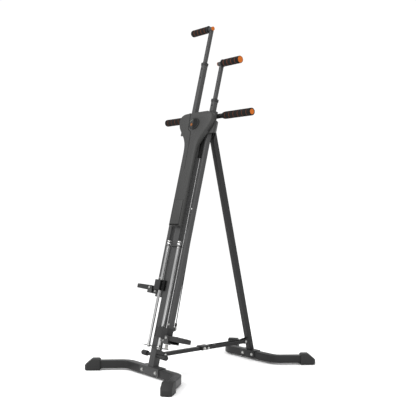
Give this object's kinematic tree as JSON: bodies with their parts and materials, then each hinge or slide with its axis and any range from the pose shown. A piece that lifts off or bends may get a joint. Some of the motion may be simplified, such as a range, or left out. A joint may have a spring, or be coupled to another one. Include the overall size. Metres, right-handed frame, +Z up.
{
  "type": "vertical climber machine",
  "caption": "Folding vertical climber with a leaning post, rope-linked climbing tubes carrying pedals and telescoping handles, a fixed handlebar, a monitor and bowed floor stabilisers",
  "frame": {"origin": "centre of the bounding box at floor level, midway between the outermost feet", "axes": "+Z up; +X to the user's right; -Y towards the user, who stands in front of the post facing +Y; the rear leg is on the +Y side"},
  "size_m": [0.731, 1.0372, 1.8271],
  "materials": {
    "frame_paint": "satin",
    "cover_plastic": "satin",
    "black_plastic": "matte",
    "chrome": "polished",
    "orange_plastic": "satin",
    "foam": "matte",
    "zinc": "satin",
    "cable": "matte",
    "bumper_rubber": "matte"
  },
  "bodies": {
    "frame": {"brace_front_bolt": "zinc", "column_panel": "cover_plastic", "down_stop_left": "bumper_rubber", "down_stop_right": "bumper_rubber", "foot_bar": "frame_paint", "foot_bar_knob_left": "black_plastic", "foot_bar_knob_right": "black_plastic", "front_cover": "cover_plastic", "front_left_foot_cap": "black_plastic", "front_right_foot_cap": "black_plastic", "front_stabiliser": "frame_paint", "guide_bush_left": "black_plastic", "guide_bush_right": "black_plastic", "guide_rod_left": "chrome", "guide_rod_right": "chrome", "head_rear_cover": "cover_plastic", "leg_hinge_bolt": "zinc", "main_post": "frame_paint", "monitor_body": "black_plastic", "pulley_axle": "zinc", "rope_left_run": "cable", "rope_right_run": "cable", "rope_top_run": "cable", "static_end_cap_left": "orange_plastic", "static_end_cap_right": "orange_plastic", "static_grip_left": "foam", "static_grip_right": "foam", "static_handlebar": "frame_paint"},
    "pulley": {"pulley": "black_plastic"},
    "monitor_button": {"monitor_button": "orange_plastic"},
    "rear_leg": {"rear_leg": "frame_paint", "rear_stabiliser": "frame_paint", "rear_left_foot_cap": "black_plastic", "rear_right_foot_cap": "black_plastic"},
    "brace_front": {"brace_front_link": "frame_paint", "brace_collar": "frame_paint", "brace_mid_bolt": "zinc"},
    "brace_rear": {"brace_rear_link": "frame_paint", "brace_rear_bolt": "zinc", "brace_rear_nut": "zinc"},
    "left_climb": {"left_climb_tube": "frame_paint", "left_tube_collar": "black_plastic", "left_carriage": "black_plastic", "left_pedal_bracket": "frame_paint", "left_pedal_pin": "zinc"},
    "left_handle": {"left_handle_tube": "frame_paint", "left_handle_grip": "foam", "left_handle_cap_outer": "orange_plastic", "left_handle_cap_inner": "orange_plastic"},
    "left_foot_pedal": {"left_pedal": "black_plastic"},
    "right_climb": {"right_climb_tube": "frame_paint", "right_tube_collar": "black_plastic", "right_carriage": "black_plastic", "right_pedal_bracket": "frame_paint", "right_pedal_pin": "zinc"},
    "right_handle": {"right_handle_tube": "frame_paint", "right_handle_grip": "foam", "right_handle_cap_outer": "orange_plastic", "right_handle_cap_inner": "orange_plastic"},
    "right_foot_pedal": {"right_pedal": "black_plastic"}
  },
  "joints": [
    {"name": "left_climb_slide", "type": "slide", "parent": "frame", "child": "left_climb", "axis": [0, 0.2444, 0.9697], "range_m": [-0.222, 0], "deforming": ["rope_left_run"]},
    {"name": "right_climb_slide", "type": "slide", "parent": "frame", "child": "right_climb", "axis": [0, 0.2444, 0.9697], "range_m": [0, 0.222], "deforming": ["rope_right_run"]},
    {"name": "pulley_spin", "type": "hinge", "parent": "frame", "child": "pulley", "pos_m": [0, 0.00427, 1.24405], "axis": [0, 0.9697, -0.2444], "range_deg": [-319, 1]},
    {"name": "left_handle_slide", "type": "slide", "parent": "left_climb", "child": "left_handle", "axis": [0, 0.2444, 0.9697], "range_m": [-0.15, 0.15]},
    {"name": "right_handle_slide", "type": "slide", "parent": "right_climb", "child": "right_handle", "axis": [0, 0.2444, 0.9697], "range_m": [-0.15, 0.15]},
    {"name": "left_pedal_fold", "type": "hinge", "parent": "left_climb", "child": "left_foot_pedal", "pos_m": [-0.11, -0.2335, 0.42327], "axis": [0, 0.9697, -0.2444], "range_deg": [0, 90]},
    {"name": "right_pedal_fold", "type": "hinge", "parent": "right_climb", "child": "right_foot_pedal", "pos_m": [0.11, -0.28971, 0.20024], "axis": [0, -0.9697, 0.2444], "range_deg": [0, 90]},
    {"name": "leg_fold", "type": "hinge", "parent": "frame", "child": "rear_leg", "pos_m": [0, 0.05167, 1.27501], "axis": [-1, 0, 0], "range_deg": [0, 19.5]},
    {"name": "brace_front_fold", "type": "hinge", "parent": "frame", "child": "brace_front", "pos_m": [0, -0.26531, 0.103], "axis": [1, 0, 0], "range_deg": [0, 67.83]},
    {"name": "brace_rear_fold", "type": "hinge", "parent": "brace_front", "child": "brace_rear", "pos_m": [0, 0.01269, 0.103], "axis": [-1, 0, 0], "range_deg": [0, 149.65]},
    {"name": "monitor_button_push", "type": "slide", "parent": "frame", "child": "monitor_button", "axis": [0, 0.9697, -0.2444], "range_m": [0, 0.002], "stiffness_N_per_m": 600}
  ],
  "couplings": [
    {"joint": "right_climb_slide", "follows": "left_climb_slide", "ratio": -1},
    {"joint": "pulley_spin", "follows": "left_climb_slide", "rad_per_m": 25},
    {"joint": "brace_front_fold", "follows": "leg_fold", "ratio": 3.4761},
    {"joint": "brace_rear_fold", "follows": "leg_fold", "ratio": 7.672}
  ]
}
